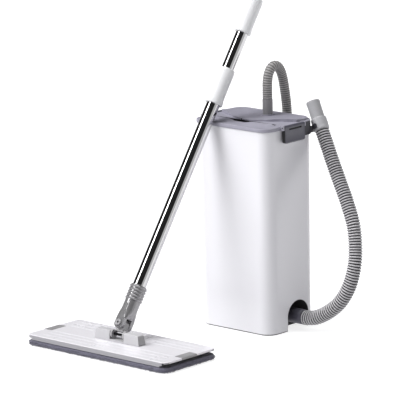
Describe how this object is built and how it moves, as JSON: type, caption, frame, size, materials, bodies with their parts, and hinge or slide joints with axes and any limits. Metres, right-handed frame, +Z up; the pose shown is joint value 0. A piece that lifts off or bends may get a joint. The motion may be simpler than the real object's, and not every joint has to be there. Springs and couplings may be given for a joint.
{
  "type": "flat squeeze mop and bucket set",
  "caption": "Flat mop leaning on a tall white bucket that has a slotted lid, side latches, a ribbed drain hose and a thinner hose bent over the back.",
  "frame": {"origin": "middle of the bucket's base, on the floor", "axes": "+X along the bucket's wide face to the right, +Y from its front to its back, +Z up"},
  "size_m": [0.4666, 0.7243, 1.0579],
  "materials": {
    "gloss_white": "glossy white",
    "lid_grey": "satin blue-grey",
    "slate": "satin dark slate",
    "hose_grey": "glossy grey, ribbed",
    "pale_grey": "pale grey",
    "grey_gloss": "glossy grey",
    "rubber_dark": "matt",
    "microfibre": "looped grey microfibre",
    "chrome": "bright polished tube",
    "steel": "plain"
  },
  "bodies": {
    "tub": {"bucket_shell": "gloss_white", "tub_divider": "gloss_white", "drain_spigot": "slate", "drain_nut": "slate", "drain_washer": "rubber_dark", "drain_cuff": "slate", "drain_hose": "hose_grey", "drain_collar": "pale_grey", "drain_nozzle": "hose_grey", "hose_clip": "slate"},
    "lid": {"lid": "lid_grey", "fill_socket": "lid_grey", "fill_cuff": "grey_gloss", "fill_hose": "hose_grey", "tap_fitting": "slate", "squeeze_frame": "gloss_white", "wiper_blade": "rubber_dark", "latch_pin_left": "steel", "latch_pin_right": "steel"},
    "latch_left": {"latch_left": "slate"},
    "latch_right": {"latch_right": "slate"},
    "mop_head": {"head_plate": "gloss_white", "mop_pad": "microfibre", "hook_strip_left": "rubber_dark", "hook_strip_right": "rubber_dark", "tab_left": "grey_gloss", "tab_right": "grey_gloss", "saddle": "gloss_white", "saddle_pin": "steel"},
    "cross": {"cross_piece": "grey_gloss", "fork_pin": "grey_gloss", "fork_pin_cap": "grey_gloss"},
    "pole": {"fork_connector": "grey_gloss", "ribbed_collar": "grey_gloss", "lower_tube": "chrome", "collet_lower": "rubber_dark"},
    "coupler_lower": {"coupler_lower": "gloss_white"},
    "middle": {"middle_tube": "chrome", "collet_upper": "rubber_dark"},
    "coupler_upper": {"coupler_upper": "gloss_white"},
    "upper": {"upper_tube": "chrome", "hand_grip": "gloss_white", "hanging_loop": "lid_grey"}
  },
  "joints": [
    {"name": "mop_pull", "type": "slide", "parent": "tub", "child": "mop_head", "axis": [0, -1, 0], "range_m": [0, 0.3]},
    {"name": "saddle_tilt", "type": "hinge", "parent": "mop_head", "child": "cross", "pos_m": [-0.0582, -0.3124, 0.034], "axis": [1, 0, 0], "range_deg": [0, 80]},
    {"name": "fork_tilt", "type": "hinge", "parent": "cross", "child": "pole", "pos_m": [-0.0582, -0.30218, 0.05002], "axis": [0, 0.8432, -0.5377], "range_deg": [-58, 55]},
    {"name": "coupler_lower_twist", "type": "hinge", "parent": "pole", "child": "coupler_lower", "pos_m": [-0.03986, -0.04429, 0.45444], "axis": [0.0382, 0.5373, 0.8425], "range_deg": [0, 90]},
    {"name": "middle_tube_slide", "type": "slide", "parent": "pole", "child": "middle", "axis": [0.0382, 0.5373, 0.8425], "range_m": [-0.065, 0.22]},
    {"name": "coupler_upper_twist", "type": "hinge", "parent": "middle", "child": "coupler_upper", "pos_m": [-0.03432, 0.03361, 0.57661], "axis": [0.0382, 0.5373, 0.8425], "range_deg": [0, 90]},
    {"name": "upper_tube_slide", "type": "slide", "parent": "middle", "child": "upper", "axis": [0.0382, 0.5373, 0.8425], "range_m": [-0.28, 0.12]},
    {"name": "lid_lift", "type": "slide", "parent": "tub", "child": "lid", "axis": [0, 0, 1], "range_m": [0, 0.12]},
    {"name": "latch_left_swing", "type": "hinge", "parent": "lid", "child": "latch_left", "pos_m": [-0.0995, -0.0004, 0.3898], "axis": [0, 1, 0], "range_deg": [0, 100]},
    {"name": "latch_right_swing", "type": "hinge", "parent": "lid", "child": "latch_right", "pos_m": [0.0995, -0.0004, 0.3898], "axis": [0, -1, 0], "range_deg": [0, 100]}
  ],
  "couplings": [
    {"joint": "lid_lift", "follows": "mop_pull", "ratio": 0.4}
  ]
}
